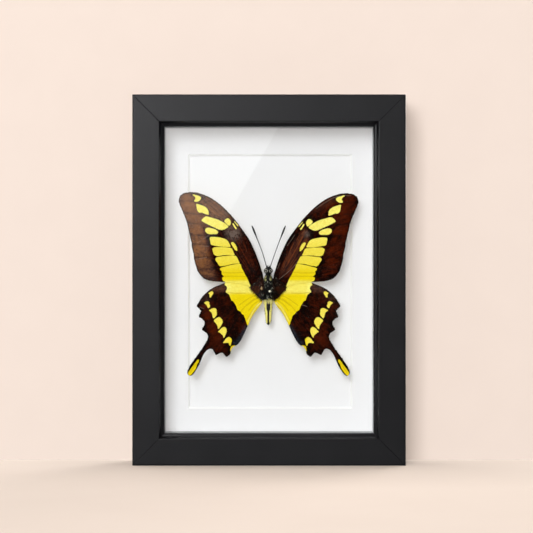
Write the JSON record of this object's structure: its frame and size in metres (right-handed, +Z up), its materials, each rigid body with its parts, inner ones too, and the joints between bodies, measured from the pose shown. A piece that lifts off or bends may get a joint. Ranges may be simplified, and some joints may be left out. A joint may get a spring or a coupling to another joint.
{
  "type": "framed butterfly specimen",
  "caption": "Swallowtail butterfly pinned with spread wings behind glass, in a black shadow-box frame with a white mat, that stands on its lower rail or hangs on a wall.",
  "frame": {"origin": "middle of the frame's footprint, on the surface it stands on", "axes": "+Z up along the frame's height, the glass faces -Y and the hanger is on the +Y side"},
  "size_m": [0.14, 0.032, 0.19],
  "materials": {
    "black_painted_wood": "black paint, satin",
    "float_glass": "clear float glass",
    "white_foam_board": "white paper-faced foam, matt",
    "white_mat_board": "white cardboard, matt",
    "brown_hardboard": "bare pressed wood fibre",
    "zinc_plated_steel": "bright zinc plating",
    "pin_steel": "black enamelled steel shaft with a small cream nylon head",
    "dark_chitin": "black chitin, partly haired",
    "wing_scales": "matt wing scales, dark brown with yellow bands and spots"
  },
  "bodies": {
    "root": {"rail_bottom": "black_painted_wood", "rail_left": "black_painted_wood", "rail_right": "black_painted_wood", "rail_top": "black_painted_wood", "glass": "float_glass", "spacer_bottom": "white_foam_board", "spacer_left": "white_foam_board", "spacer_right": "white_foam_board", "spacer_top": "white_foam_board", "mounting_board": "white_foam_board", "mat": "white_mat_board", "backing_board": "brown_hardboard", "tab_bottom": "zinc_plated_steel", "tab_left_high": "zinc_plated_steel", "tab_left_low": "zinc_plated_steel", "tab_right_high": "zinc_plated_steel", "tab_right_low": "zinc_plated_steel", "tab_top": "zinc_plated_steel", "hanger": "zinc_plated_steel", "rivet_left": "zinc_plated_steel", "rivet_right": "zinc_plated_steel", "insect_pin": "pin_steel", "butterfly_body": "dark_chitin", "antenna_left": "dark_chitin", "antenna_right": "dark_chitin", "forewing_left": "wing_scales", "forewing_right": "wing_scales", "hindwing_left": "wing_scales", "hindwing_right": "wing_scales"}
  },
  "joints": []
}
